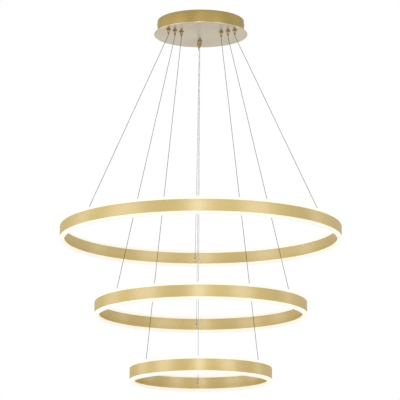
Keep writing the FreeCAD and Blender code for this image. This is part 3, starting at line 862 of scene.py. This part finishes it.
# --- Bands ---------------------------------------------------------------------------------
# Each ring is an aluminium box extrusion rolled to a hoop, brushed along its length and
# anodised champagne gold under a clear seal. A hole in the inner wall takes each cable, with
# a small socket set screw above and below it that clamps the anchor.

RING_RADII = {1: 0.400, 2: 0.300, 3: 0.200}
BAND_WIDTH = 0.0125
BAND_HEIGHT = 0.032
BAND_WALL = 0.0014
BAND_EDGE = 0.0005            # radius of the drawn edges
BAND_INNER_EDGE = 0.0003      # and of the corners of the hollow
BAND_STEPS = 288              # round the hoop
CABLE_HOLE_RADIUS = 0.0018
CABLE_DRILL = (-0.002, 0.004)            # the drill's ends, outward from the inner face
SET_SCREW_LIFT = 0.0108       # set screw above or below the hole
SET_SCREW = [(0.0013, -0.0030), (0.0015, -0.0027), (0.0015, 0.0001), (0.0013, 0.0003)]
SET_SOCKET = (0.0015, 0.0012)
SEAL_SHARE = 0.13             # share of the light that the clear seal mirrors

# Anodised aluminium, brushed: fine streaks run along the hoop, at about 0.3 mm each, drawn
# at 1 mm so that they show, and the tone drifts over 11 cm or so; the clear seal above gives
# the paler sheen of the soft boxes.
band_gold, tree, place = new_material("Band_aluminium_brushed_champagne")
level = add(tree, "SeparateXYZ", {"Vector": place}).outputs["Z"]
streaks = add(tree, "TexNoise", {"W": level, "Scale": 1000.0, "Detail": 3.0},
              noise_dimensions="1D")
cloud = add(tree, "TexNoise", {"Vector": place, "Scale": 9.0, "Detail": 2.0})
tone = add(tree, "ValToRGB", {"Fac": cloud}, {0.3: "#b2994c", 0.7: "#b79f52"})
grain = add(tree, "Bump", {"Height": streaks, "Strength": 0.12, "Distance": 0.0002})
gold = add(tree, "BsdfPrincipled", {
    "Base Color": tone, "Metallic": 1.0, "Roughness": 0.6, "Normal": grain})
crest = add(tree, "BsdfPrincipled", {
    "Base Color": linear("#f4f2ee"), "Metallic": 1.0, "Roughness": 0.3, "Normal": grain})
both = add(tree, "MixShader", {0: SEAL_SHARE, 1: gold, 2: crest})
add(tree, "OutputMaterial", {"Surface": both})

# Blackened steel: nearly black, with a little gloss left by the oil in spots of 2 mm.
screw_black, tree, place = new_material("Set_screw_steel_blackened")
oil = add(tree, "TexNoise", {"Vector": place, "Scale": 500.0})
gloss = add(tree, "MapRange", {"Value": oil, "To Min": 0.3, "To Max": 0.5})
black = add(tree, "BsdfPrincipled", {
    "Base Color": linear("#2e2a25"), "Metallic": 1.0, "Roughness": gloss})
add(tree, "OutputMaterial", {"Surface": black})


def section(radius, height, inset, edge, steps=4):
    """The outline of a band's section, all its sides moved in by the inset."""
    near, far = radius - BAND_WIDTH + inset, radius - inset
    low, high = height - BAND_HEIGHT / 2 + inset, height + BAND_HEIGHT / 2 - inset
    return rounded([(near, low), (far, low), (far, high), (near, high)], [edge] * 4, steps)


for ring, radius in RING_RADII.items():
    height, inner = RING_HEIGHTS[ring], radius - BAND_WIDTH
    skin = section(radius, height, 0.0, BAND_EDGE)
    hollow = section(radius, height, BAND_WALL, BAND_INNER_EDGE, 1)
    points = np.concatenate([turned(skin, BAND_STEPS), turned(hollow, BAND_STEPS)])
    faces = hoop_faces(skin, BAND_STEPS) \
        + hoop_faces(hollow, BAND_STEPS, len(skin) * BAND_STEPS, inward=True)
    band = put("Ring_%d_band" % ring, points, faces)
    cut_and_join(band, [bar("Drill", *(on_row(azimuth, inner + end, height) for end in CABLE_DRILL),
                            CABLE_HOLE_RADIUS) for azimuth in ROWS.values()])
    finish_piece(band, band_gold, "ring_%d" % ring, "band_gold", "ring_%d_band" % ring)
    screws = [socket_screw("Screw", on_row(azimuth, inner, height + lift), on_row(azimuth, -1.0),
                           SET_SCREW, SET_SOCKET)
              for azimuth in ROWS.values() for lift in (-SET_SCREW_LIFT, SET_SCREW_LIFT)]
    finish_piece(joined("Ring_%d_set_screws" % ring, screws), screw_black, "ring_%d" % ring, None)

# --- Diffusers -----------------------------------------------------------------------------
# Opal acrylic covers, extruded and rolled, clipped into the band's upper and lower edges. The
# light inside fills them evenly, a touch creamier where they are thickest, at the foot.

DIFFUSER_HEIGHT = 0.0085
DIFFUSER_WALL = 0.0016
DIFFUSER_GLOW = 0.52
CROWN_HALF_WIDTH = 0.0052
CROWN_INNER_HALF_WIDTH = 0.0037
DIFFUSER_EDGES = [0.0001, 0.0028, 0.0028, 0.0001, 0.0001, 0.0016, 0.0016, 0.0001]

for ring, radius in RING_RADII.items():
    height, middle, half = RING_HEIGHTS[ring], radius - BAND_WIDTH / 2, BAND_WIDTH / 2
    opal, tree, place = new_material("Diffuser_acrylic_opal_ring_%d" % ring)
    level = add(tree, "SeparateXYZ", {"Vector": place}).outputs["Z"]
    away = add(tree, "Math", {0: level, 1: -height}, operation="ADD")
    rise = add(tree, "Math", {0: away}, operation="ABSOLUTE")
    share = add(tree, "MapRange", {"Value": rise, "From Min": BAND_HEIGHT / 2,
                                   "From Max": BAND_HEIGHT / 2 + DIFFUSER_HEIGHT})
    glow = add(tree, "ValToRGB", {"Fac": share}, {0.0: "#fbeed6", 1.0: "#fffdf8"})
    lit = add(tree, "BsdfPrincipled", {
        "Base Color": linear("#d2cfc8"), "Roughness": 0.35, "Emission Color": glow,
        "Emission Strength": DIFFUSER_GLOW})
    add(tree, "OutputMaterial", {"Surface": lit})
    for side, word in ((1, "upper"), (-1, "lower")):
        foot = height + side * BAND_HEIGHT / 2
        crown = foot + side * DIFFUSER_HEIGHT
        ceiling = crown - side * DIFFUSER_WALL
        outline = rounded([
            (middle - half, foot), (middle - CROWN_HALF_WIDTH, crown),
            (middle + CROWN_HALF_WIDTH, crown), (middle + half, foot),
            (middle + half - DIFFUSER_WALL, foot), (middle + CROWN_INNER_HALF_WIDTH, ceiling),
            (middle - CROWN_INNER_HALF_WIDTH, ceiling), (middle - half + DIFFUSER_WALL, foot),
        ], DIFFUSER_EDGES, 6)
        cover = hoop("Ring_%d_%s_diffuser" % (ring, word), outline, BAND_STEPS)
        finish_piece(cover, opal, "ring_%d" % ring, "opal_diffuser",
                     "ring_%d_%s_diffuser" % (ring, word))

# --- LED strips ----------------------------------------------------------------------------
# White glass-fibre boards laid in 24 straight runs under each cover, with a small
# phosphor-yellow LED about every 9 mm.

STRIP_RUNS = 24
STRIP_THICKNESS = 0.0012
CHIPS_IN_RUN = {1: 12, 2: 9, 3: 6}
CHIP_HALF = (0.0014, 0.00175)            # across its run and along it
CHIP_HEIGHT = 0.0004

# Woven glass under white lacquer, its threads about 1 mm apart.
strip_board, tree, place = new_material("Strip_board_glass_fibre")
weave = add(tree, "TexNoise", {"Vector": place, "Scale": 900.0})
tone = add(tree, "ValToRGB", {"Fac": weave}, {0.0: "#e9e7df", 1.0: "#f6f5f0"})
board = add(tree, "BsdfPrincipled", {"Base Color": tone, "Roughness": 0.4, "IOR": 1.5})
add(tree, "OutputMaterial", {"Surface": board})

# Phosphor in silicone: yellow, in dots of 0.5 mm, lit from within.
chip_yellow, tree, place = new_material("LED_phosphor_silicone")
dots = add(tree, "TexNoise", {"Vector": place, "Scale": 2000.0})
tone = add(tree, "ValToRGB", {"Fac": dots}, {0.0: "#e8c33c", 1.0: "#f4dc6a"})
gel = add(tree, "BsdfPrincipled", {
    "Base Color": tone, "Roughness": 0.25, "Emission Color": linear("#ffe9b0"),
    "Emission Strength": 1.0})
add(tree, "OutputMaterial", {"Surface": gel})

# a chip's eight corners: out from the axis, aside along the run, and up from the board
signs = np.meshgrid((-1, 1), (-1, 1), (0, 1), indexing="ij")
out, to_side, up = (sign.ravel()[None, :] for sign in signs)
chip_faces = np.array([(0, 1, 3, 2), (4, 6, 7, 5), (0, 4, 5, 1), (2, 3, 7, 6), (0, 2, 6, 4),
                       (1, 5, 7, 3)])

for ring, radius in RING_RADII.items():
    height, middle, in_run = RING_HEIGHTS[ring], radius - BAND_WIDTH / 2, CHIPS_IN_RUN[ring]
    apothem = middle - middle * (1 - math.cos(math.pi / STRIP_RUNS)) / 2
    run, step = np.divmod(np.arange(STRIP_RUNS * in_run)[:, None], in_run)
    facing = 360 * (run + 0.5) / STRIP_RUNS
    aside = (step - (in_run - 1) / 2) * 2 * apothem * math.tan(math.pi / STRIP_RUNS) / in_run
    for side, word in ((1, "upper"), (-1, "lower")):
        dress("ring_%d_%s_led_strip" % (ring, word), strip_board)
        foot = height + side * (BAND_HEIGHT / 2 + STRIP_THICKNESS)
        corners = on_row(facing, apothem + CHIP_HALF[0] * out, foot + side * CHIP_HEIGHT * up,
                         aside + CHIP_HALF[1] * to_side)
        first = np.arange(len(corners))[:, None, None] * 8
        faces = (first + chip_faces[:, ::side]).reshape(-1, 4)
        chips = put("Ring_%d_%s_leds" % (ring, word), corners, faces, smooth=False)
        chips.data.materials.append(chip_yellow)
        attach(chips, "ring_%d" % ring)

# --- Cable anchors and stops ---------------------------------------------------------------
# Behind each hole a notched brass block spreads the pull over the band's wall, and a crimped
# brass stop on the cable's end bears on it.

for ring in RING_RADII:
    dress("ring_%d_cable_anchors" % ring, gripper_brass)
    dress("ring_%d_cable_stops" % ring, gripper_brass)
